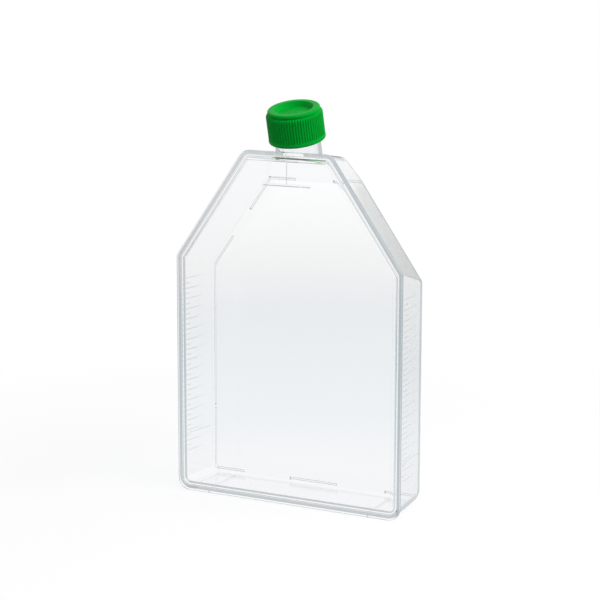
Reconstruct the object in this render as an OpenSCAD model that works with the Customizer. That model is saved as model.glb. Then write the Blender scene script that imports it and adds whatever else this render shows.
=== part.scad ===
// Cell culture flask: a clear moulded tub with a canted neck, a welded cover plate
// and a ribbed screw cap. The flask stands on its short base wall.
// The cover plate faces -Y, the growth surface is the inside of the +Y wall.
// Origin: centre of the base, on the surface that the flask stands on.

/* [Body] */
// Width of the flask across the cover plate
body_w = 128; // [100:1:160]
// Depth of the flask from the cover rim to the outside of the growth wall
body_d = 32.4; // [31:0.2:44]
// Height of the upright sides, up to the shoulders
shoulder_h = 125; // [85:1:165]
// Height of the sloping part, from the shoulders up to the roof
slope_h = 56.5; // [46:0.5:76]
// Width of the roof that carries the neck
roof_w = 49; // [44:0.5:60]
// Thickness of the tub walls
wall = 1.6; // [1.2:0.1:2.2]
// Radius of the two base corners
base_corner_r = 6.5; // [4:0.5:9]
// Radius of the two shoulder corners
shoulder_r = 5; // [3:0.5:8]
// Radius of the two roof corners
roof_corner_r = 6; // [4:0.5:8]
// Rounding of the edge around the growth wall
back_edge_r = 1.2; // [0.6:0.1:1.6]
// Rounding of the edge between the base and the growth wall
base_edge_r = 3; // [1.2:0.2:4]

/* [Mould draft] */
// Inset of each upright side at the growth wall
side_draft = 3; // [1.5:0.1:4]
// Inset of each sloping side at the growth wall, square to the slope
slope_draft = 7.4; // [3:0.1:9]
// Drop of the roof line at the growth wall
roof_draft = 4.6; // [2:0.1:6]

/* [Head] */
// Drop from the roof to the fold where the growth wall turns into the ramp
ramp_drop = 17.2; // [13:0.1:18.5]
// Lean of the ramp towards the neck, from upright
ramp_lean = 27; // [22:1:32]

/* [Neck] */
// Lean of the neck towards the cover plate
neck_cant = 15; // [10:0.5:18]
// Outer diameter of the neck below its thread
neck_d = 23.2; // [18:0.1:24]
// Wall of the neck
neck_wall = 1.6; // [1.2:0.1:2]
// Length of neck that shows between the roof and the cap
neck_show = 5.6; // [4.8:0.1:8]
// Distance of the neck's front from the cover's joint, at the roof
neck_set = 0.3; // [0.2:0.1:1.5]

/* [Cover plate] */
// Thickness of the cover at its rim
rim_t = 2.2; // [1.8:0.1:3]
// Height of the rim over the face of the plate
rim_rise = 0.7; // [0.4:0.1:1]
// Width of the rim
rim_w = 4.8; // [3.5:0.1:6]
// Overhang of the rim past the tub walls
rim_overhang = 0.3; // [0.1:0.1:0.8]
// Depth of the locating lip inside the tub
lip_depth = 1.2; // [0.8:0.1:2]
// Thickness of the locating lip
lip_t = 1; // [0.8:0.1:1.4]
// Gap between the end of the lip and the tub walls
lip_gap = 0.2; // [0.15:0.05:0.5]

/* [Stacking ribs] */
// Height of the ribs on the growth wall
rib_rise = 0.8; // [0.5:0.1:1.2]
// Width of the ribs
rib_w = 1.5; // [1:0.1:2]
// Distance of the ribs from the sides of the growth wall
rib_inset = 0.9; // [0.9:0.1:2]
// Height of the base ribs over the bench
base_rib_up = 3.9; // [3:0.1:5]
// Length of the rib in the middle of the base
base_rib_l = 28; // [16:1:40]
// Width of the open stretch between the middle rib and each corner rib
base_rib_gap = 27.5; // [10:0.5:34]
// Height that each corner rib reaches up the side
corner_rib_h = 38; // [20:1:50]
// Break between the corner rib and the side rib
rib_break = 1.4; // [1:0.1:4]
// Width of the open stretch between the two ribs on the fold
fold_rib_gap = 21.8; // [10:0.2:30]
// Height above the shoulders at which the side rib ends
side_rib_end = 7; // [3:0.5:14]
// Length of the slope rib, measured upright from the fold
slope_rib_h = 17.5; // [8:0.5:26]

/* [Centring mark] */
// Distance of the mark's top below the top of the cover plate
mark_top = 3.8; // [2:0.1:8]
// Length of the upright bar
mark_l = 12.2; // [8:0.2:22]
// Length of the cross bar at its foot
mark_cross_l = 27.2; // [14:0.2:34]
// Width of both bars
mark_w = 0.8; // [0.5:0.1:1.5]
// Height of the bars over the face of the plate
mark_rise = 0.3; // [0.1:0.05:0.5]

/* [Cap] */
// Wall of the cap's skirt, from its bore to the crest of the grip ribs
cap_wall = 1.6; // [1.3:0.1:2.4]
// Height of the cap's skirt
cap_skirt_h = 15; // [13.5:0.1:18]
// Step from the smooth foot band in to the raised top
cap_step = 1.1; // [0.9:0.1:2]
// Height of the raised top over the skirt
cap_top_rise = 1.8; // [1:0.1:2.5]
// Width of the rim around the well in the top
well_rim = 3.5; // [2.6:0.1:5]
// Depth of the well
well_depth = 2.6; // [1.5:0.1:3]
// Thickness of the cap's top under the well
cap_top_t = 1.4; // [1:0.1:2]
// Number of grip ribs around the cap
grip_count = 66; // [48:2:80]
// Depth of the grooves between the grip ribs
grip_depth = 0.4; // [0.2:0.05:0.5]
// Height of the smooth band at the foot of the skirt
cap_band_h = 2.2; // [1.5:0.1:3]
// Height of the screw thread, from the neck's wall to its crest
thread_rise = 0.85; // [0.6:0.05:1]
// Clearance between the neck's thread crest and the cap
thread_gap = 0.35; // [0.3:0.05:0.5]
// Clearance between the cap's plug seal and the neck
plug_gap = 0.15; // [0.1:0.05:0.3]
// Depth that the plug seal reaches into the neck
plug_depth = 3; // [2:0.1:4]
// Wall of the plug seal
plug_wall = 0.9; // [0.7:0.1:1.2]
// Gap between the neck's mouth and the underside of the cap
mouth_gap = 0.3; // [0.2:0.05:0.5]

/* [Hidden] */

CLEAR = [0.86, 0.93, 0.96, 0.45];
GREEN = [0, 0.6, 0.2];
FAR = 400;        // size of the blocks that cut a plane
PAST = 1;         // how far a cut runs past the surface that it opens
SKIN = 0.01;      // thickness of the slices that a wall is stretched between
ARC_STEPS = 6;    // facets around each corner of the flask's outline
EDGE_STEPS = 4;   // facets around the edge of the growth wall
LEAST_R = 0.4;    // the smallest radius of an inner corner
ROUND = 96;       // facets around the neck and the cap

body_h = shoulder_h + slope_h;
front_y = -body_d / 2;
back_y = body_d / 2;
weld_y = front_y + rim_t;
slope = atan2(slope_h, (body_w - roof_w) / 2);

// Share of the full draft at a depth y: 0 at the weld, 1 at the growth wall
function draft(y) = (y - weld_y) / (back_y - weld_y);
// Inset of a wall at a depth y, from its overhang at the weld to its full draft
function inset(y, full) = rim_overhang + draft(y) * (full - rim_overhang);

// Points of the sloping line, moved in by `slope_in` square to itself
function slope_x(z, slope_in) = body_w / 2 - (slope_in + (z - shoulder_h) * cos(slope)) / sin(slope);
function slope_z(x, slope_in) = shoulder_h - (slope_in + (x - body_w / 2) * sin(slope)) / cos(slope);

// A corner's radius, moved in by `in`
function inner_r(r, in) = max(r - in, LEAST_R);

// The six corners of the outline, each as [x, z, radius]
function house(side_in, slope_in, roof_in, base_in, in) =
    let (x = body_w / 2 - side_in)
    let (roof_z = body_h - roof_in)
    let (roof_x = slope_x(roof_z, slope_in))
    let (base_r = inner_r(base_corner_r, in))
    let (mid_r = inner_r(shoulder_r, in / 2))
    let (top_r = inner_r(roof_corner_r, in))
    [[x, base_in, base_r], [x, slope_z(x, slope_in), mid_r], [roof_x, roof_z, top_r],
     [-roof_x, roof_z, top_r], [-x, slope_z(x, slope_in), mid_r], [-x, base_in, base_r]];

function unit(v) = v / norm(v);

// An arc in place of corner b, which lies between corners a and c
function corner_arc(a, b, c) =
    let (to_a = unit([a.x - b.x, a.y - b.y]))
    let (to_c = unit([c.x - b.x, c.y - b.y]))
    let (half = acos(to_a * to_c) / 2)
    let (middle = [b.x, b.y] + unit(to_a + to_c) * b.z / sin(half))
    let (start = atan2(-to_a.x, to_a.y) + 180)
    let (turn = 180 - 2 * half)
    [for (i = [0:ARC_STEPS])
        let (t = start + turn * i / ARC_STEPS)
        middle + b.z * [cos(t), sin(t)]];

function rounded(corners) =
    let (n = len(corners))
    [for (i = [0:n - 1]) each corner_arc(corners[(i + n - 1) % n], corners[i], corners[(i + 1) % n])];

// The outline of the flask at a depth y, moved in by `more`, and by `base_in` at the base
function outline_at(y, more, base_in) =
    rounded(house(inset(y, side_draft) + more, inset(y, slope_draft) + more,
                  inset(y, roof_draft) + more, base_in, more));

// How far a far edge of radius r has rounded in at a depth y
function round_in(y, end_y, r) =
    let (past = max(y - end_y + r, 0))
    r - sqrt(max(r * r - past * past, 0));

// Extrudes an outline in XZ from y0 to y1
module plate(y0, y1) {
    translate([0, y1, 0]) rotate([90, 0, 0]) linear_extrude(y1 - y0) children();
}

// Removes all that lies past a plane
module past_plane(point, normal) {
    translate(point)
        rotate([0, acos(normal.z / norm(normal)), atan2(normal.y, normal.x)])
            translate([-FAR / 2, -FAR / 2, 0]) cube(FAR);
}

fold_z = body_h - ramp_drop;
ramp_normal = [0, cos(ramp_lean), sin(ramp_lean)];

// Cuts the ramp across the top of the growth wall
module cut_ramp(in) {
    difference() {
        children();
        past_plane([0, back_y, fold_z] - ramp_normal * in, ramp_normal);
    }
}

// The tub's drafted form, moved in by `in`, with its far edge rounded, and more so at the base
module tub_form(in, start_y) {
    end_y = back_y - in;
    edge_r = inner_r(back_edge_r, in / 2);
    base_edge = inner_r(base_edge_r, in);
    hull() {
        plate(start_y, start_y + SKIN) polygon(outline_at(start_y, in, in));
        for (r = [edge_r, base_edge], a = [0:90 / EDGE_STEPS:90])
            let (y = end_y - r * (1 - sin(a)))
            let (more = in + round_in(y, end_y, edge_r))
            let (base_in = in + round_in(y, end_y, base_edge))
            plate(y - SKIN, y) polygon(outline_at(y, more, base_in));
    }
}

// The neck leans towards the cover plate. Its foot is in the roof, and its front there
// lies behind the cover's joint. Its root runs down inside the head until it is inside the ramp
foot = [0, weld_y + neck_set + neck_d / 2 / cos(neck_cant), body_h - roof_draft / 2];
neck_root = -0.7 * neck_d;
bore_r = neck_d / 2 - neck_wall;
cap_foot = neck_show + roof_draft / 2;
cap_under = cap_skirt_h + cap_top_rise - well_depth - cap_top_t;
neck_top = cap_foot + cap_under - mouth_gap;
cover_gap = 0.2;  // clearance between the leaning neck and the cover's top edge

module along_neck() {
    translate(foot) rotate([neck_cant, 0, 0]) children();
}

// The line that the ribs follow around the growth wall, moved in by `more`
function rib_line(more) =
    let (base_in = base_rib_up + more)
    let (wall_in = rib_inset + more)
    rounded(house(side_draft + wall_in, slope_draft + wall_in, roof_draft + wall_in, base_in, base_in));

// One closed run of rib around the growth wall, in XZ
module rib_ring() {
    difference() {
        polygon(rib_line(0));
        polygon(rib_line(rib_w));
    }
}

// The fold's rib lies just over the fold, half of it on the ramp's rounded edge
fold_rib_z = fold_z - rib_w / 2;
fold_rib_x = slope_x(fold_rib_z, slope_draft + rib_inset);

// Where the ribs stand, on the +X side: along the base, up to the break, up to the slope
// and from there to the fold
module rib_windows() {
    corner_x = base_rib_l / 2 + base_rib_gap;
    slope_rib_z = fold_z - slope_rib_h;
    translate([0, -PAST]) square([base_rib_l / 2, base_rib_up + rib_w + 2 * PAST]);
    translate([corner_x, -PAST]) square([body_w / 2 - corner_x, corner_rib_h + PAST]);
    translate([fold_rib_x, corner_rib_h + rib_break])
        square([body_w / 2 - fold_rib_x, shoulder_h + side_rib_end - corner_rib_h - rib_break]);
    translate([fold_rib_gap / 2, slope_rib_z])
        square([body_w / 2, fold_rib_z + rib_w / 2 - slope_rib_z]);
}

module stacking_ribs() {
    plate(back_y - wall / 2, back_y + rib_rise)
        for (side = [0, 1]) mirror([side, 0]) {
            intersection() {
                rib_ring();
                rib_windows();
            }
            translate([fold_rib_gap / 2, fold_rib_z - rib_w / 2])
                square([fold_rib_x - fold_rib_gap / 2, rib_w]);
        }
}

module flask_tub() {
    color(CLEAR) {
        difference() {
            union() {
                cut_ramp(0) tub_form(0, weld_y);
                along_neck() translate([0, 0, neck_root])
                    cylinder(d = neck_d, h = neck_top - neck_root, $fn = ROUND);
            }
            cut_ramp(wall) tub_form(wall, weld_y - PAST);
            along_neck() translate([0, 0, neck_root - PAST])
                cylinder(r = bore_r, h = neck_top - neck_root + 2 * PAST, $fn = ROUND);
            translate([-FAR / 2, weld_y - FAR, 0]) cube([FAR, FAR, body_h + cover_gap]);
        }
        stacking_ribs();
    }
}
flask_tub();

function cover_outline(in) = rounded(house(in, in, in, in, in));

// The lip's outline at a depth y, moved in by `more`
function lip_outline(y, more) =
    let (in = wall + lip_gap + more)
    outline_at(y, in, in);

// Centring mark at the top of the plate: an upright bar on a cross bar
module centring_mark() {
    bar_t = mark_rise + rim_t / 4;
    foot_z = body_h - mark_top - mark_l;
    translate([0, front_y + rim_rise - mark_rise, foot_z]) {
        translate([-mark_w / 2, 0, 0]) cube([mark_w, bar_t, mark_l]);
        translate([-mark_cross_l / 2, 0, -mark_w]) cube([mark_cross_l, bar_t, mark_w]);
    }
}

module cover_plate() {
    lip_y = weld_y + lip_depth;
    color(CLEAR) {
        plate(front_y + rim_rise, weld_y) polygon(cover_outline(0));
        // The rim around the face
        plate(front_y, front_y + rim_rise) difference() {
            polygon(cover_outline(0));
            polygon(cover_outline(rim_w));
        }
        // The locating lip follows the tub's inside at the lip's own end
        plate(weld_y, lip_y) difference() {
            polygon(lip_outline(lip_y, 0));
            polygon(lip_outline(lip_y, lip_t));
        }
        centring_mark();
    }
}
cover_plate();

// The cap is sized from the neck outwards
skirt_bore_r = neck_d / 2 + thread_rise + thread_gap;
cap_r = skirt_bore_r + cap_wall;
cap_top_r = cap_r - cap_step;
plug_r = bore_r - plug_gap;
band_lead = 0.1;     // how far the foot band stands out past the grip ribs
band_bevel = 0.5;    // bevel at the top of the foot band
foot_bevel = 0.8;    // bevel at the foot of the skirt
top_bevel = 0.6;     // bevel around the raised top
grip_bend_h = 1.4;  // height over which the grip bends in to the top
grip_r = cap_r - band_lead;
root_sink = 0.1;     // how far the grip ribs' roots reach into the core
// One grip rib: where its points lie in the pitch, and whether each is in the groove
GRIP_FORM = [[0.08, 0], [0.42, 0], [0.6, 1], [0.9, 1]];

function grip_outline() =
    let (pitch = 360 / grip_count)
    [for (i = [0:grip_count - 1], p = GRIP_FORM)
        (grip_r - p[1] * (grip_depth + root_sink)) * [cos((i + p[0]) * pitch), sin((i + p[0]) * pitch)]];

// The smooth foot band, the core, the shoulder and the raised top
module cap_core() {
    groove_r = grip_r - grip_depth;
    top_z = cap_skirt_h + cap_top_rise;
    rotate_extrude($fn = ROUND) polygon([
        [0, foot_bevel], [0, top_z], [cap_top_r - top_bevel, top_z],
        [cap_top_r, top_z - top_bevel], [cap_top_r, cap_skirt_h],
        [groove_r, cap_skirt_h - grip_bend_h], [groove_r, cap_band_h],
        [cap_r, cap_band_h - band_bevel], [cap_r, foot_bevel],
        [cap_r - foot_bevel, 0], [skirt_bore_r - foot_bevel / 2, 0]]);
}

// The grip ribs, which start inside the foot band and bend in over the shoulder
module grip_ribs() {
    intersection() {
        translate([0, 0, cap_band_h - band_bevel])
            linear_extrude(cap_skirt_h - cap_band_h) polygon(grip_outline());
        cylinder(r1 = grip_r - grip_bend_h + cap_skirt_h, r2 = grip_r - grip_bend_h,
                 h = cap_skirt_h, $fn = ROUND);
    }
}

module screw_cap() {
    plug_z = cap_under - plug_depth;
    color(GREEN) along_neck() translate([0, 0, cap_foot]) difference() {
        union() {
            cap_core();
            grip_ribs();
        }
        // The well in the top
        translate([0, 0, cap_skirt_h + cap_top_rise - well_depth])
            cylinder(r = cap_top_r - well_rim, h = well_depth + PAST, $fn = ROUND);
        // The inside of the skirt, around the plug seal
        difference() {
            translate([0, 0, -PAST]) cylinder(r = skirt_bore_r, h = cap_under + PAST, $fn = ROUND);
            translate([0, 0, plug_z]) cylinder(r = plug_r, h = plug_depth + PAST, $fn = ROUND);
        }
        translate([0, 0, plug_z - PAST])
            cylinder(r = plug_r - plug_wall, h = plug_depth + PAST, $fn = ROUND);
    }
}
screw_cap();
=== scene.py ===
"""The looks of a cell culture flask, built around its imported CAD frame.

Every solid is made in millimetres in the frame's own axes: +Z up, the cover plate towards -Y, the growth
wall towards +Y, z = 0 on the bench. piece() scales a finished solid to metres.
"""

import math

import bmesh
import bpy
from mathutils import Matrix, Vector


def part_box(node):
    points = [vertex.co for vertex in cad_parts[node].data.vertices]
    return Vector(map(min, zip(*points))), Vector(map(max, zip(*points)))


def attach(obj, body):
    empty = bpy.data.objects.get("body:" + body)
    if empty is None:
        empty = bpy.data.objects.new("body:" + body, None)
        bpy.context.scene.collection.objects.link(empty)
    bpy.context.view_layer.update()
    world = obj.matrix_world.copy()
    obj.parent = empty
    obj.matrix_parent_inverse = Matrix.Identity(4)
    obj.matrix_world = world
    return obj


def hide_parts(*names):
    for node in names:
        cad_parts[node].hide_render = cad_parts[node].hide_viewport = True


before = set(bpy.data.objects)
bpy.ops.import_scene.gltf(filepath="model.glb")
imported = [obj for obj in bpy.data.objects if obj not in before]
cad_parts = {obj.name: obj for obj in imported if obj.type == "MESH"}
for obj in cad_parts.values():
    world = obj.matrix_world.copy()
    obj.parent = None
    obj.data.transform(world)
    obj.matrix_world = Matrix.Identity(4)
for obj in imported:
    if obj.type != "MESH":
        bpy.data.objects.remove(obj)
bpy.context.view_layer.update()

MM = 0.001
PAST = 1.0                # how far a cutter runs past the surface that it opens
HAIR = 0.03               # the hair of air between two pieces that touch
CORNER_STEPS = 10         # facets around a corner of the flask's outline
EDGE_STEPS = 4            # facets around a rounded edge
SHARP = math.radians(32)  # an edge that turns further than this stays sharp


def cad_corners(node):
    """A node's lowest and highest corners in millimetres."""
    low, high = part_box(node)
    return low / MM, high / MM


cover_low, cover_high = cad_corners("cover_plate")
tub_high = cad_corners("flask_tub")[1]

# The tub. A draft is how far in from the cover's edge a wall ends at the growth wall.
half_w = cover_high.x
body_h = cover_high.z
shoulder_h = 125.0
roof_w = 49.0
wall = 1.6
side_draft = 3.0
slope_draft = 7.4
roof_draft = 4.6
base_rise = 0.45          # how much higher the base ends at the growth wall than at the weld
base_corner_r = 6.5
shoulder_r = 5.0
roof_corner_r = 6.0
fold_corner_r = 1.5
fold_lead = 0.2           # the share of the ramp by which its corners tighten early
least_corner_r = 0.6
least_edge_r = 0.4
back_edge_r = 1.2
base_edge_r = 3.0
ramp_drop = 17.2          # from the top of the cover to the fold at the ramp's foot
ramp_lean = math.radians(27)
ramp_blend = 2.0          # the height over which the roof bends into the ramp
foot_x = 46.0
foot_w = 1.0
foot_drop = 0.8

# The cover plate
rim_t = 2.2
rim_rise = 0.7
rim_w = 4.8
rim_overhang = 0.3
rim_round = 0.45
rim_least_r = 0.8
weld_bevel = 0.12
lip_depth = 1.2
lip_t = 1.0
lip_gap = 0.2
lip_bevel = 0.15
mark_drop = 16.0          # from the top of the cover to the cross bar of the centring mark
mark_half_l = 13.6
mark_bar_h = 1.25
mark_upright_w = 0.68
mark_rise = 0.42

front_y = cover_low.y     # the front of the rim
face_y = front_y + rim_rise
weld_y = front_y + rim_t  # where the cover lies on the tub

# The stacking ribs
rib_rise = 0.8
rib_w = 1.5
rib_inset = 0.9
rib_flank = 0.45          # how far a rib's side leans in over its height
rib_base_r = 1.9
rib_shoulder_r = 2.7
base_rib_up = 3.9
corner_rib_h = 38.0
rib_break = 1.4
base_rib_half = 14.0
base_rib_gap = 27.5
fold_rib_half_gap = 10.9
fold_rib_drop = 0.1
side_rib_end = 7.0        # how far the rib of the side runs on above the shoulder
slope_rib_h = 17.5
back_y = tub_high.y - rib_rise
fold_z = body_h - ramp_drop
slope = math.atan2(body_h - shoulder_h, half_w - roof_w / 2)

# The scale on the side walls
scale_start_z = 19.4
scale_step = 2.72
scale_first_ml = 60
scale_step_ml = 10
scale_count = 35
scale_rise = 0.075
scale_line_w = 0.5
scale_y = -11.8
minor_l = 6.4
major_l = 12.6
fill_line_z = 28.6
fill_line_end = 12.4
digit_size = 2.9
digit_rise = 0.03
digit_half_t = 0.2        # half a digit's thickness, most of which is sunk in the wall
digit_gap = 0.8

# The neck and its thread. Heights run along the neck's axis.
neck_r = 11.6
bore_r = 10.0
neck_cant = math.radians(15)
neck_setback = 0.3        # from the weld to the near side of the neck's foot
neck_foot = Vector((0, weld_y + neck_setback + neck_r / math.cos(neck_cant), body_h - roof_draft / 2))
neck_axes = Matrix.Translation(neck_foot) @ Matrix.Rotation(neck_cant, 4, "X")
neck_top = 20.4
neck_root = -16.2
mouth_round = 0.45
thread_pitch = 3.5
thread_rise = 0.85
thread_turns = 1.7
thread_start = 3.4        # above the foot of the cap
thread_run_out = 0.08     # the share of a turn in which a thread rises from nothing

# The cap. Heights run from its foot.
cap_foot = 7.9            # where the cap's foot sits along the neck
cap_r = 14.4
cap_bore_r = 12.8
cap_top_r = 13.3
cap_skirt_h = 15.0
cap_h = 16.8
cap_well_r = 9.8
cap_well_z = 14.2
cap_under = 12.8
cap_thread_turns = 2.2
plug_r = 9.85
plug_wall = 0.9
plug_depth = 3.0
grip_count = 66
grip_depth = 0.4


# ---- Outlines, in the plane of the cover plate ---------------------------------------------------------

def depth_share(y):
    """How far back y lies, from 0 at the weld to 1 at the growth wall."""
    return (y - weld_y) / (back_y - weld_y)


def inset(y, full):
    """How far a wall has moved in at a depth y, from its overhang at the weld to its full draft."""
    return rim_overhang + depth_share(y) * (full - rim_overhang)


def slope_x(z, slope_in):
    """Where a slope that has moved in by slope_in stands at a height z."""
    return half_w - (slope_in + (z - shoulder_h) * math.cos(slope)) / math.sin(slope)


def slope_z(x, slope_in):
    """Where a slope that has moved in by slope_in stands at a distance x from the middle."""
    return shoulder_h - (slope_in + (x - half_w) * math.sin(slope)) / math.cos(slope)


def house(side_in, slope_in, roof_z, base_z, radii):
    """The six corners of the outline as (x, z, radius), from the right of the base round to its left."""
    x = half_w - side_in
    roof_x = slope_x(roof_z, slope_in)
    shoulder_z = slope_z(x, slope_in)
    right = [(x, base_z, radii[0]), (x, shoulder_z, radii[1]), (roof_x, roof_z, radii[2])]
    return right + [(-x, z, r) for x, z, r in reversed(right)]


def corner_arc(before, corner, after):
    """Points of the arc that takes a corner's place."""
    here = Vector(corner[:2])
    to_before = (Vector(before[:2]) - here).normalized()
    to_after = (Vector(after[:2]) - here).normalized()
    half = to_before.angle(to_after) / 2
    middle = here + (to_before + to_after).normalized() * corner[2] / math.sin(half)
    start = math.atan2(-to_before.x, to_before.y) + math.pi
    turn = math.pi - 2 * half
    for i in range(CORNER_STEPS + 1):
        angle = start + turn * i / CORNER_STEPS
        yield middle + corner[2] * Vector((math.cos(angle), math.sin(angle)))


def rounded(corners):
    """The outline with an arc in the place of each corner."""
    around = zip(corners[-1:] + corners[:-1], corners, corners[1:] + corners[:1])
    return [p for before, corner, after in around for p in corner_arc(before, corner, after)]


def softened(a, b, blend):
    """The lesser of a and b, with the kink between them rounded."""
    share = max(blend - abs(a - b), 0) / blend
    return min(a, b) - share * share * blend / 4


def round_in(y, end_y, radius):
    """How far a far edge has rounded in at a depth y."""
    past = max(y - end_y + radius, 0)
    return radius - math.sqrt(max(radius * radius - past * past, 0))


def tub_outline(y, inward, base_in=None, skin=0.0):
    """The tub's outline at a depth y, moved inward on all sides, or by base_in at the base.

    skin is the share of inward that is the wall's thickness, which lies square to the ramp.
    """
    base_z = foot_drop + depth_share(y) * base_rise
    base_z += inward if base_in is None else base_in
    roof_z = body_h - inset(y, roof_draft) - inward
    ramp_z = fold_z + (back_y - y) / math.tan(ramp_lean) - skin / math.sin(ramp_lean) - (inward - skin)
    on_ramp = min(max((roof_z - ramp_z) / (roof_z - fold_z) + fold_lead, 0), 1)
    top_corner_r = roof_corner_r + (fold_corner_r - roof_corner_r) * on_ramp
    radii = [max(r, least_corner_r) for r in (
        base_corner_r - inward, shoulder_r - inward / 2, top_corner_r - inward)]
    return rounded(house(inset(y, side_draft) + inward, inset(y, slope_draft) + inward,
                         softened(roof_z, ramp_z, ramp_blend), base_z, radii))


def cover_outline(inward):
    """The cover's outline, moved inward on all sides."""
    radii = [max(r - inward, rim_least_r)
             for r in (base_corner_r, shoulder_r + inward / 2, roof_corner_r)]
    return rounded(house(inward, inward, body_h - inward, inward, radii))


def box_outline(low, high, grow=0.0):
    """The four corners of a box between two corners, grown by the same amount on each side."""
    (x0, z0), (x1, z1) = low, high
    return [(x0 - grow, z0 - grow), (x1 + grow, z0 - grow), (x1 + grow, z1 + grow), (x0 - grow, z1 + grow)]


def at_depth(outline, y):
    return [Vector((x, y, z)) for x, z in outline]


# ---- Solids --------------------------------------------------------------------------------------------

def add_object(name, data):
    made = bpy.data.objects.new(name, data)
    bpy.context.scene.collection.objects.link(made)
    return made


def outward(bm):
    bmesh.ops.recalc_face_normals(bm, faces=bm.faces)


def new_solid(name, bm):
    outward(bm)
    mesh = bpy.data.meshes.new(name)
    bm.to_mesh(mesh)
    bm.free()
    return add_object(name, mesh)


def add_loft(bm, rings):
    """A closed solid through rings of points, with a flat face at each end."""
    rows = [[bm.verts.new(p) for p in ring] for ring in rings]
    count = len(rows[0])
    for row, above in zip(rows, rows[1:]):
        for i in range(count):
            j = (i + 1) % count
            bm.faces.new((row[i], row[j], above[j], above[i]))
    bm.faces.new(reversed(rows[0]))
    bm.faces.new(rows[-1])


def loft(name, rings):
    bm = bmesh.new()
    add_loft(bm, rings)
    return new_solid(name, bm)


def circle(radius, z, steps, axes=neck_axes):
    """A ring of points around the neck's axis. radius may be a function of the angle and the height."""
    ring = []
    for i in range(steps):
        angle = 2 * math.pi * i / steps
        r = radius(angle, z) if callable(radius) else radius
        ring.append(axes @ Vector((r * math.cos(angle), r * math.sin(angle), z)))
    return ring


def combine(base, tool, operation):
    """base with the tool joined on or cut away. The tool is used up."""
    step = base.modifiers.new(operation, "BOOLEAN")
    step.operation = operation
    step.solver = "EXACT"
    step.object = tool
    ready = base.evaluated_get(bpy.context.evaluated_depsgraph_get())
    mesh = bpy.data.meshes.new_from_object(ready)
    base.modifiers.clear()
    base.data = mesh
    bpy.data.objects.remove(tool)
    return base


def thread(angle, z, start, turns, crest_half, foot_half):
    """Height of a thread, from 0 to 1, at an angle and a height along the axis."""
    turn = angle / (2 * math.pi)
    turn += round((z - start) / thread_pitch - turn)
    if not 0 <= turn <= turns:
        return 0.0
    off = abs(z - start - turn * thread_pitch)
    run_out = min(turn, turns - turn) / thread_run_out
    return max(min((foot_half - off) / (foot_half - crest_half), 1), 0) * min(run_out, 1)


# ---- The tub -------------------------------------------------------------------------------------------

def tub_rings(start_y, inward):
    """Rings of the tub's form: straight walls, the kink at the ramp's top and the rounded far edge."""
    end_y = back_y - inward
    edge_r = max(back_edge_r - inward * 0.3, least_edge_r)
    base_r = max(base_edge_r - inward, least_edge_r)
    kink_y = back_y - (body_h - roof_draft - fold_z) * math.tan(ramp_lean)
    depths = [start_y] + [kink_y + shift for shift in (-2.4, -1.2, -0.4, 0.4, 1.2, 2.4)]
    for radius in (edge_r, base_r):
        for i in range(EDGE_STEPS + 2):
            depths.append(end_y - radius * (1 - math.sin(math.pi / 2 * i / (EDGE_STEPS + 1))))
    rings = []
    for y in sorted(set(round(y, 4) for y in depths)):
        more = inward + round_in(y, end_y, edge_r)
        base_in = inward + round_in(y, end_y, base_r)
        rings.append(at_depth(tub_outline(y, more, base_in, inward), y))
    return rings


def neck_surface(angle, z):
    height = thread(angle, z, cap_foot + thread_start, thread_turns, crest_half=0.35, foot_half=0.95)
    return neck_r + thread_rise * height


def neck_outside():
    """The neck with its thread and its rounded mouth."""
    steps = 144
    row_h = 0.25
    rows = [neck_root, cap_foot + 2]
    while rows[-1] < neck_top - 1.2:
        rows.append(rows[-1] + row_h)
    rings = [circle(neck_surface, z, steps) for z in rows]
    for i in range(EDGE_STEPS + 1):
        angle = math.pi / 2 * i / EDGE_STEPS
        z = neck_top - mouth_round * (1 - math.sin(angle))
        rings.append(circle(neck_r - mouth_round * (1 - math.cos(angle)), z, steps))
    return loft("neck_outside", rings)


def neck_bore():
    """The cutter for the neck's bore, which widens at the mouth."""
    steps = 96
    flare = 0.35
    rows = [(bore_r, neck_root - PAST), (bore_r, neck_top - flare), (bore_r + 0.12, neck_top - 0.1),
            (bore_r + flare, neck_top), (bore_r + flare, neck_top + PAST)]
    return loft("neck_bore", [circle(r, z, steps) for r, z in rows])


def rib(bm, path):
    """A rib along a path of (x, z) on the growth wall, with leaning sides and ends."""
    half = rib_w / 2
    sunk = wall / 3
    foot_half = half + rib_flank * sunk / rib_rise
    top_half = half - rib_flank
    profile = ((-foot_half, -sunk), (-top_half, rib_rise), (top_half, rib_rise), (foot_half, -sunk))
    rings = []
    for i, here in enumerate(path):
        towards = (here - path[i - 1] if i else path[1] - here).normalized()
        onwards = (path[i + 1] - here if i + 1 < len(path) else towards).normalized()
        way = (towards + onwards).normalized()
        across = Vector((-way.y, way.x)) / way.dot(towards)
        end_lean = way * rib_flank * ((i == 0) - (i == len(path) - 1))
        ring = []
        for off, rise in profile:
            p = here + across * off + end_lean * rise / rib_rise
            ring.append(Vector((p.x, back_y + rise, p.y)))
        rings.append(ring)
    add_loft(bm, rings)


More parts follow.
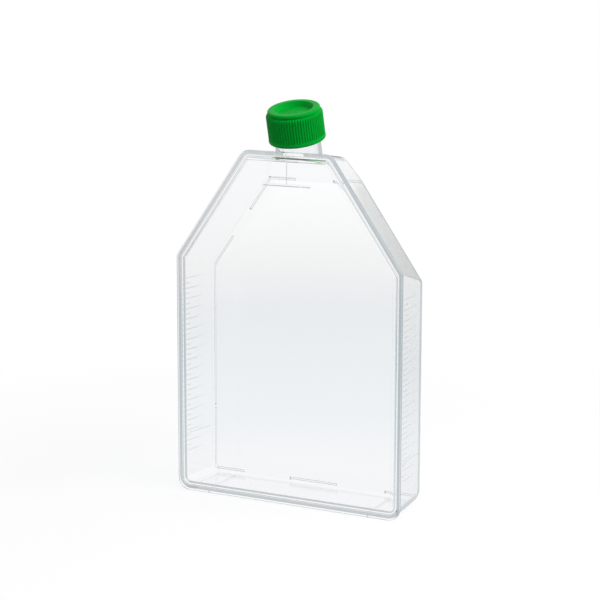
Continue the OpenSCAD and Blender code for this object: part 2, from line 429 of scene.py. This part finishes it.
def stacking_ribs():
    """Broken runs of rib that follow the edge of the growth wall."""
    middle = rib_inset + rib_w / 2
    base_z = base_rib_up + rib_w / 2
    x = half_w - side_draft - middle
    slope_in = slope_draft + middle
    shoulder_z = slope_z(x, slope_in)
    side_end = Vector((slope_x(shoulder_h + side_rib_end, slope_in), shoulder_h + side_rib_end))
    fold_rib_z = fold_z - fold_rib_drop
    slope_start = Vector((slope_x(fold_z - slope_rib_h, slope_in), fold_z - slope_rib_h))
    fold_corner = Vector((slope_x(fold_rib_z, slope_in), fold_rib_z))
    base_corner = list(corner_arc((0, base_z), (x, base_z, rib_base_r), (x, shoulder_h)))
    shoulder = list(corner_arc((x, 0), (x, shoulder_z, rib_shoulder_r), tuple(side_end)))
    bm = bmesh.new()
    rib(bm, [Vector((-base_rib_half, base_z)), Vector((base_rib_half, base_z))])
    for side in (1, -1):
        runs = [
            [Vector((base_rib_half + base_rib_gap, base_z))] + base_corner + [Vector((x, corner_rib_h))],
            [Vector((x, corner_rib_h + rib_break))] + shoulder + [side_end],
            [slope_start, fold_corner, Vector((fold_rib_half_gap, fold_rib_z))],
        ]
        for run in runs:
            rib(bm, [Vector((p.x * side, p.y)) for p in run])
    return new_solid("stacking_ribs", bm)


def feet():
    """Two low ribs under the base, which stand the drafted tub upright."""
    half = foot_w / 2
    toe_half = half - 0.15
    root_z = foot_drop + 1.1
    front, back = weld_y - 0.3, back_y - base_edge_r - 0.4
    bm = bmesh.new()
    for side in (1, -1):
        x = side * foot_x
        outline = [(x - half, root_z), (x - toe_half, 0.0), (x + toe_half, 0.0), (x + half, root_z)]
        add_loft(bm, [at_depth(outline, front), at_depth(outline, back)])
    return new_solid("feet", bm)


def wall_axes(side):
    """Axes on the outside of a side wall: x to the right as seen from outside, y up, z outwards."""
    lean = (side_draft - rim_overhang) / (back_y - weld_y)
    up = Vector((0, 0, 1))
    out = Vector((side, lean, 0)).normalized()
    middle = Vector((side * (half_w - inset(0, side_draft)), 0, 0))
    turned = Matrix((up.cross(out), up, out)).transposed().to_4x4()
    return Matrix.Translation(middle) @ turned


def scale_line(bm, side, z, length):
    """A low ridge with leaning sides across a side wall, at a height z."""
    axes = wall_axes(side)
    sink, lean = 0.05, 0.11
    start, end = sorted((side * scale_y, side * (scale_y + length)))
    low, high = (start, z - scale_line_w / 2), (end, z + scale_line_w / 2)
    add_loft(bm, [[axes @ Vector((x, y, rise)) for x, y in box_outline(low, high, grow)]
                  for grow, rise in ((lean * sink / scale_rise, -sink), (-lean, scale_rise))])


def scale_lines(side):
    """The lines of the scale, with every second one long, and the fill line."""
    bm = bmesh.new()
    for i in range(scale_count):
        scale_line(bm, side, scale_start_z + i * scale_step, minor_l if i % 2 else major_l)
    scale_line(bm, side, fill_line_z, fill_line_end - scale_y)
    return new_solid("scale_lines", bm)


def number(text, axes, x, z, align):
    """Plain digits raised on a wall."""
    curve = bpy.data.curves.new("digits", "FONT")
    curve.body = text
    curve.size = digit_size
    curve.align_x = align
    curve.align_y = "CENTER"
    curve.extrude = digit_half_t
    curve.resolution_u = 3
    made = bpy.data.objects.new("digits", curve)
    mesh = bpy.data.meshes.new_from_object(made)
    mesh.transform(axes @ Matrix.Translation((x, z, digit_rise - digit_half_t)))
    bpy.data.objects.remove(made)
    return mesh


def scale_numbers(side):
    """A number behind every second line of the scale."""
    axes = wall_axes(side)
    bm = bmesh.new()
    for i in range(0, scale_count, 2):
        z = scale_start_z + i * scale_step
        text = str(scale_first_ml + scale_step_ml * i)
        x = side * (scale_y + major_l + digit_gap)
        bm.from_mesh(number(text, axes, x, z, "LEFT" if side > 0 else "RIGHT"))
    bmesh.ops.remove_doubles(bm, verts=bm.verts, dist=0.001)
    return new_solid("scale_numbers", bm)


def flask_tub():
    """The tub with all that is moulded on it, hollow, open at the neck and cut flat at the weld."""
    far = 2 * half_w
    tub = loft("flask_tub", tub_rings(weld_y - PAST / 2, 0))
    for part in (neck_outside(), stacking_ribs(), feet()):
        combine(tub, part, "UNION")
    for side in (1, -1):
        combine(tub, scale_lines(side), "UNION")
        combine(tub, scale_numbers(side), "UNION")
    inside = loft("inside", tub_rings(weld_y - 2 * PAST, wall))
    cut_h = body_h + 0.2  # above this the neck leans out over the cover
    over_cover = loft("over_cover", [at_depth(box_outline((-far, -PAST), (far, cut_h)), y)
                                     for y in (weld_y - far, weld_y + HAIR)])
    for part in (inside, neck_bore(), over_cover):
        combine(tub, part, "DIFFERENCE")
    return tub


# ---- The cover plate -----------------------------------------------------------------------------------

def mark_bar(low, high, lean):
    """A raised bar on the face of the cover, with leaning sides."""
    sink = 0.3
    foot = at_depth(box_outline(low, high, lean * sink / mark_rise), face_y + sink)
    return loft("mark_bar", [foot, at_depth(box_outline(low, high, -lean), face_y - mark_rise)])


def centring_mark():
    """An upright bar on a cross bar, on the face of the plate."""
    cross_z = body_h - mark_drop
    half = mark_upright_w / 2
    upright = mark_bar((-half, cross_z - 0.5), (half, body_h - rim_w + 0.3), lean=0.08)
    cross = mark_bar((-mark_half_l, cross_z - mark_bar_h), (mark_half_l, cross_z), lean=0.45)
    return combine(upright, cross, "UNION")


def rim_notch():
    """The cutter for a fine groove that carries the upright on across the rim."""
    half, deep, over = 0.3, 0.25, 0.1
    corners = ((-half, front_y - over), (half, front_y - over), (0, front_y + deep))
    ends = (body_h - rim_w - 0.2, body_h - 0.8)
    return loft("rim_notch", [[Vector((x, y, z)) for x, y in corners] for z in ends])


def cover_plate():
    """The plate from its inside face out over the locating lip, the edge and the rim to the face."""
    back = weld_y - HAIR
    lip_y = weld_y + lip_depth
    lip_in = wall + lip_gap
    lip_fillet = ((1.6, 0.0), (0.95, 0.12), (0.5, 0.35), (0.15, 0.75))
    rim_step = ((0.35, 0.0), (0.15, 0.06), (0.03, 0.22))
    lip = [(lip_t + more, back + up) for more, up in lip_fillet]
    lip += [(lip_t, lip_y - lip_bevel), (lip_t - lip_bevel, lip_y), (lip_bevel, lip_y),
            (0, lip_y - lip_bevel), (0, back)]
    rings = [at_depth(tub_outline(weld_y, lip_in + more, lip_in + more), y) for more, y in lip]
    edge = [(weld_bevel, back), (0, back - weld_bevel)]
    for i in range(EDGE_STEPS + 1):
        angle = math.pi / 2 * i / EDGE_STEPS
        edge.append((rim_round * (1 - math.cos(angle)), front_y + rim_round * (1 - math.sin(angle))))
    edge += [(rim_w - more, front_y + down) for more, down in rim_step]
    edge += [(rim_w + more, face_y - down) for more, down in reversed(rim_step)]
    rings += [at_depth(cover_outline(more), y) for more, y in edge]
    cover = loft("cover_plate", rings)
    combine(cover, centring_mark(), "UNION")
    return combine(cover, rim_notch(), "DIFFERENCE")


# ---- The cap -------------------------------------------------------------------------------------------

def grip(angle):
    """Depth of the grip at an angle: 0 on a rib's crest, 1 at the bottom of a groove."""
    share = (angle * grip_count / (2 * math.pi)) % 1
    return max(min(1.35 * (0.5 - 0.5 * math.cos(2 * math.pi * share)) - 0.2, 1), 0)


def grooved(r, share):
    """A radius with the grip's grooves, at a share of their full depth."""
    return lambda angle, z: r - grip_depth * share * grip(angle)


def bore_surface(angle, z):
    start = thread_start - thread_pitch / 2
    height = thread(angle, z, start, cap_thread_turns, crest_half=0.3, foot_half=0.8)
    return cap_bore_r - thread_rise * height


def cap_rings():
    """Rings of the cap from the middle of its top, over the outside and up the inside."""
    steps = grip_count * 8
    axes = neck_axes @ Matrix.Translation((0, 0, cap_foot))
    rows = []

    def row(r, z, groove=0.0):
        rows.append((grooved(r, groove) if groove else r, z))

    def bend(middle_r, middle_z, radius, first, last, groove=0.0, count=5):
        """An arc of the profile. Angles are in degrees, with 0 outwards and 90 up."""
        for i in range(count + 1):
            angle = math.radians(first + (last - first) * i / count)
            row(middle_r + radius * math.cos(angle), middle_z + radius * math.sin(angle), groove)

    # The gate mark, the floor of the well, its wall and the raised rim
    for r, z in ((0.25, -0.22), (0.7, -0.2), (0.95, -0.05), (1.2, 0.06), (1.6, 0.06), (1.9, 0)):
        row(r, cap_well_z + z)
    row(cap_well_r - 2.6, cap_well_z)
    bend(cap_well_r - 1.3, cap_well_z + 0.35, 0.35, 270, 337)
    bend(cap_well_r + 0.35, cap_h - 0.4, 0.4, 157, 90)
    bend(cap_top_r - 1.0, cap_h - 1.0, 1.0, 90, 0, count=8)
    row(cap_top_r, cap_skirt_h + 0.45)
    row(cap_top_r - 0.4, cap_skirt_h + 0.1)
    row(cap_top_r - 0.35, cap_skirt_h - 0.25)
    # The shoulder and the grip, down to the smooth band and its rounded foot
    grip_r = cap_r - 0.1
    bend(grip_r - 1.45, cap_skirt_h - 1.65, 1.45, 84, 0, groove=1.0, count=8)
    for z in (12.0, 9.0, 6.0, 3.2):
        row(grip_r, z, 1.0)
    for z, groove in ((2.7, 0.95), (2.35, 0.7), (2.1, 0.35), (1.9, 0.1)):
        row(grip_r, z, groove)
    row(cap_r, 1.65)
    bend(cap_r - 0.8, 0.8, 0.8, 0, -90)
    # The bore with its thread, the underside and the plug seal
    bend(cap_bore_r + 0.35, 0.35, 0.35, 270, 180, count=3)
    z = 0.9
    while z < cap_under - 1:
        rows.append((bore_surface, z))
        z += 0.28
    row(cap_bore_r, cap_under - 0.6)
    bend(cap_bore_r - 0.4, cap_under - 0.4, 0.4, 0, 90, count=3)
    plug_z = cap_under - plug_depth
    plug_in_r = plug_r - plug_wall
    row(plug_r + 0.3, cap_under)
    row(plug_r, cap_under - 0.3)
    row(plug_r, plug_z + 0.8)
    row(plug_r - 0.3, plug_z)
    row(plug_in_r + 0.2, plug_z)
    row(plug_in_r, plug_z + 0.2)
    row(plug_in_r, cap_under - 0.3)
    row(plug_in_r - 0.3, cap_under)
    row(1.0, cap_under)
    return [circle(r, z, steps, axes) for r, z in rows]


# ---- Materials -----------------------------------------------------------------------------------------

class Socket:
    """A node's output, in expressions: each operation adds its Math node."""

    def __init__(self, nodes, output):
        self.nodes = nodes
        self.output = output

    def math(self, operation, first, second):
        return self.nodes.add("Math", {"operation": operation}, {0: first, 1: second})

    def __add__(self, other):
        return self.math("ADD", self, other)

    def __sub__(self, other):
        return self.math("SUBTRACT", self, other)

    def __mul__(self, other):
        return self.math("MULTIPLY", self, other)

    def __rsub__(self, other):
        return self.math("SUBTRACT", other, self)

    __radd__ = __add__
    __rmul__ = __mul__

    def at_most(self, other):
        return self.math("MINIMUM", self, other)

    def at_least(self, other):
        return self.math("MAXIMUM", self, other)

    def clamped(self):
        return self.at_least(0.0).at_most(1.0)

    def to(self, name):
        """Another output of the same node."""
        return Socket(self.nodes, self.output.node.outputs[name])


class Nodes:
    """The node tree of a material or of the world."""

    def __init__(self, owner):
        owner.use_nodes = True
        self.tree = owner.node_tree
        self.tree.nodes.clear()

    def add(self, kind, settings=None, inputs=None):
        node = self.tree.nodes.new("ShaderNode" + kind)
        for name, value in (settings or {}).items():
            setattr(node, name, value)
        for name, value in (inputs or {}).items():
            if isinstance(value, Socket):
                self.tree.links.new(value.output, node.inputs[name])
            else:
                node.inputs[name].default_value = value
        return Socket(self, node.outputs[0] if node.outputs else None)

    def ramp(self, factor, stops):
        """Colours over a factor. stops are (position, colour)."""
        made = self.add("ValToRGB", None, {0: factor})
        elements = made.output.node.color_ramp.elements
        for i, (position, colour) in enumerate(stops):
            element = elements[i] if i < 2 else elements.new(position)
            element.position = position
            element.color = (*colour, 1)
        return made

    def output(self, kind, **links):
        self.add("Output" + kind, None, links)


def new_material(name):
    made = bpy.data.materials.new(name)
    return made, Nodes(made)


def reflected_or_bent(path):
    """1 for the rays that gloss sends back or that have gone into clear plastic."""
    return path.to("Is Glossy Ray").at_least(path.to("Is Transmission Ray"))


def clear_polystyrene():
    """Crystal polystyrene: a hard bright gloss, faint flow marks and a cool grey along its edges, which is
    partly its own tint over long paths and partly painted shade from the grey that the bench top and the
    room show to rays reflected more than once.

    Lamps shine straight through it, and light that is trapped in a wall is let out.
    """
    material, nodes = new_material("clear_polystyrene")
    place = nodes.add("TexCoord").to("Object")
    flow = nodes.add("TexNoise", None, {"Vector": place, "Scale": 28.0, "Detail": 2.0})
    haze = nodes.add("TexNoise", None, {"Vector": place, "Scale": 240.0, "Detail": 3.0})
    waves = nodes.add("Bump", None, {"Height": flow, "Strength": 0.02, "Distance": 0.002})
    plastic = nodes.add("BsdfPrincipled", None, {
        "Base Color": (0.996, 0.998, 0.999, 1),
        "Roughness": 0.015 + 0.02 * haze,
        "IOR": 1.59,
        "Transmission Weight": 1.0,
        "Normal": waves,
    })
    lit = nodes.add("BsdfTransparent", None, {"Color": (0.96, 0.97, 0.972, 1)})
    path = nodes.add("LightPath")
    # Rays reflected more than once pass out through the wall to the painted grey of the bench top and the
    # room.
    trapped = (path.to("Glossy Depth") - 1).clamped()
    let_out = path.to("Is Shadow Ray").at_least(trapped)
    surface = nodes.add("MixShader", None, {0: let_out, 1: plastic, 2: lit})
    depth = nodes.add("VolumeAbsorption", None, {"Color": (0.55, 0.68, 0.70, 1), "Density": 5.0})
    nodes.output("Material", Surface=surface, Volume=depth)
    return material


def green_polyethylene():
    """Coloured polyethylene: an even green with a waxy gloss and the fine skin of its mould."""
    material, nodes = new_material("green_polyethylene")
    place = nodes.add("TexCoord").to("Object")
    cloud = nodes.add("TexNoise", None, {"Vector": place, "Scale": 120.0, "Detail": 3.0})
    skin = nodes.add("TexNoise", None, {"Vector": place, "Scale": 2600.0, "Detail": 2.0})
    colour = nodes.add("Mix", {"data_type": "RGBA"}, {
        "Factor": cloud, 6: (0.0, 0.4, 0.034, 1), 7: (0.0, 0.44, 0.038, 1)})
    plastic = nodes.add("BsdfPrincipled", None, {
        "Base Color": colour.to(2),
        "Roughness": 0.36 + 0.1 * cloud,
        "IOR": 1.51,
        "Specular IOR Level": 0.06,
        "Normal": nodes.add("Bump", None, {"Height": skin, "Strength": 0.12, "Distance": 0.0001}),
    })
    nodes.output("Material", Surface=plastic)
    return material


# ---- The stage, in metres ------------------------------------------------------------------------------

def bench_top():
    """A pale bench top that is plain white far away and behind clear plastic.

    What gloss shows of it is a painted reflection that glows: tones that darken and clear again with the
    distance from the flask, and a grey for rays reflected more than once, which paints grey shade along
    the flask's edges.
    """
    near_r, fade_l = 0.15, 0.2
    front_l, back_l = 1.5, 0.6
    material, nodes = new_material("bench_top")
    place = nodes.add("TexCoord").to("Object")
    away = nodes.add("VectorMath", {"operation": "LENGTH"}, {0: place}).to("Value")
    behind = nodes.add("SeparateXYZ", None, {0: place}).to("Y") * 20.0
    fade = ((away - near_r) * (1 / fade_l)).clamped()
    path = nodes.add("LightPath")
    glossy = path.to("Glossy Depth")
    seen = path.to("Is Camera Ray").at_least(reflected_or_bent(path))
    matt = nodes.add("BsdfDiffuse", None, {"Color": (0.4, 0.4, 0.4, 1)})
    glow = nodes.add("Emission", None, {"Color": (1, 1, 1, 1), "Strength": 0.67})
    near = nodes.add("AddShader", None, {0: matt, 1: glow})
    white = nodes.add("Emission", None, {"Color": (1, 1, 1, 1), "Strength": 1.0})
    whiteness = fade.at_least(path.to("Is Transmission Ray"))
    shown = nodes.add("MixShader", None, {0: whiteness, 1: near, 2: white})
    # Painted reflection: the dark bluish bands that the flask's faces show of the bench in front.
    in_front = nodes.ramp(away * (1 / front_l), (
        (0.06, (0.64, 0.68, 0.76)), (0.13, (0.3, 0.46, 0.56)), (0.3, (0.11, 0.24, 0.34)),
        (0.37, (0.12, 0.22, 0.3)), (0.45, (0.4, 0.41, 0.41)), (0.66, (0.78, 0.78, 0.78)),
        (0.9, (1.05, 1.05, 1.05))))
    # Painted reflection: the tones that the flask shows of the bench behind it.
    at_back = nodes.ramp(away * (1 / back_l), (
        (0.25, (0.72, 0.75, 0.77)), (0.6, (0.5, 0.54, 0.57)), (0.95, (0.58, 0.6, 0.61))))
    once = nodes.add("Mix", {"data_type": "RGBA"}, {"Factor": behind + 0.5, 6: in_front, 7: at_back})
    # Painted shade: the grey that rays reflected more than once see, for the flask's edges.
    often = nodes.ramp((glossy - 1) * 0.2, ((0.2, (0.6, 0.62, 0.63)), (0.6, (0.43, 0.45, 0.46))))
    colour = nodes.add("Mix", {"data_type": "RGBA"}, {
        "Factor": (glossy - 1).clamped(), 6: once.to(2), 7: often})
    # The bench glows with these painted tones in gloss only.
    in_gloss = nodes.add("Emission", None, {"Color": colour.to(2), "Strength": 1.0})
    lit = nodes.add("MixShader", None, {0: glossy.at_most(1.0), 1: shown, 2: in_gloss})
    surface = nodes.add("MixShader", None, {0: seen, 1: matt, 2: lit})
    nodes.output("Material", Surface=surface)
    return material


def floor():
    bm = bmesh.new()
    bmesh.ops.create_grid(bm, x_segments=1, y_segments=1, size=12)
    made = new_solid("floor", bm)
    made.data.materials.append(bench_top())


def studio():
    """A white room. Gloss shows a darker band over the horizon, and a broad bright ceiling above it. Rays
    reflected more than once see a room that dims with each reflection, and rays through clear plastic see
    it dim overhead: painted shade for the flask.
    """
    ceiling_z = 0.109
    world = bpy.data.worlds.new("studio")
    bpy.context.scene.world = world
    nodes = Nodes(world)
    path = nodes.add("LightPath")
    camera = path.to("Is Camera Ray")
    glossy = path.to("Glossy Depth")
    bent = reflected_or_bent(path)
    way = nodes.add("TexCoord").to("Generated")
    height = nodes.add("SeparateXYZ", None, {0: way}).to("Z")
    horizon = 0.1 + height.at_least(0.0) * 4.4
    ceiling = ((height - ceiling_z) * 200.0).clamped()
    band = horizon.at_most(0.58) + 0.4 * ceiling
    # Painted shade: the room dims with each reflection, which greys the flask's edges.
    often = 0.66 - 0.07 * glossy
    first = (2 - glossy).clamped()
    reflected = first * band + (1 - first) * often
    # Painted shade: rays through clear plastic see the room dim overhead.
    through = (1.4 - height * 2.4).at_least(0.35).at_most(1.0)
    in_flask = glossy.at_most(1.0) * reflected + (1 - glossy.at_most(1.0)) * through
    soft = 0.13 + 0.3 * height.at_least(0.0)
    strength = camera + (1 - camera) * (bent * in_flask + (1 - bent) * soft)
    room = nodes.add("Background", None, {"Color": (1, 1, 1, 1), "Strength": strength})
    nodes.output("World", Surface=room)


def softbox(name, place, size, power):
    """A square lamp that lights the flask but doesn't show in its gloss or through its walls."""
    light = bpy.data.lights.new(name, "AREA")
    light.shape = "SQUARE"
    light.size = size
    light.energy = power
    made = add_object(name, light)
    made.location = place
    aim = Vector((0, 0, 0.1)) - made.location
    made.rotation_euler = aim.to_track_quat("-Z", "Y").to_euler()
    made.visible_transmission = False
    made.visible_glossy = False


def camera():
    azimuth, elevation, roll = math.radians(27.69), math.radians(10.68), math.radians(0.14)
    distance = 7.57 * 2 * half_w * MM
    target = Vector((0.00015, -0.00084, 0.1045))
    away = Vector((math.sin(azimuth) * math.cos(elevation), -math.cos(azimuth) * math.cos(elevation),
                   math.sin(elevation)))
    lens = bpy.data.cameras.new("camera")
    lens.lens = 114.0
    lens.clip_start = 0.01
    made = add_object("camera", lens)
    turned = (-away).to_track_quat("-Z", "Y").to_matrix().to_4x4() @ Matrix.Rotation(roll, 4, "Z")
    made.matrix_world = Matrix.Translation(target + away * distance) @ turned
    bpy.context.scene.camera = made


# ---- Putting the flask together ------------------------------------------------------------------------

def piece(made, node, body, material):
    """Scales a solid to metres, smooths its curves and puts it in its CAD node's place."""
    made.name = node + "_skin"
    mesh = made.data
    mesh.transform(Matrix.Scale(MM, 4))
    mesh.materials.clear()
    mesh.materials.append(material)
    bm = bmesh.new()
    bm.from_mesh(mesh)
    bmesh.ops.dissolve_degenerate(bm, edges=bm.edges, dist=1e-7)
    outward(bm)
    for face in bm.faces:
        face.smooth = True
        face.material_index = 0
    for e in bm.edges:
        e.smooth = len(e.link_faces) == 2 and e.calc_face_angle() < SHARP
    bm.to_mesh(mesh)
    bm.free()
    shading = made.modifiers.new("flat faces stay flat", "WEIGHTED_NORMAL")
    shading.keep_sharp = True
    shading.weight = 100
    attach(made, body)
    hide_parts(node)


camera()
studio()
floor()
softbox("key", place=(1.25, -0.1, 1.2), size=1.1, power=23.0)
softbox("fill", place=(-1.2, -0.9, 0.22), size=0.8, power=3.6)

polystyrene = clear_polystyrene()
polyethylene = green_polyethylene()
piece(flask_tub(), "flask_tub", "flask", polystyrene)
piece(cover_plate(), "cover_plate", "flask", polystyrene)
piece(loft("cap", cap_rings()), "screw_cap", "cap", polyethylene)

bpy.context.scene.view_settings.view_transform = "Standard"
bpy.context.scene.cycles.max_bounces = 32
bpy.context.scene.cycles.transmission_bounces = 32
bpy.context.scene.cycles.transparent_max_bounces = 16
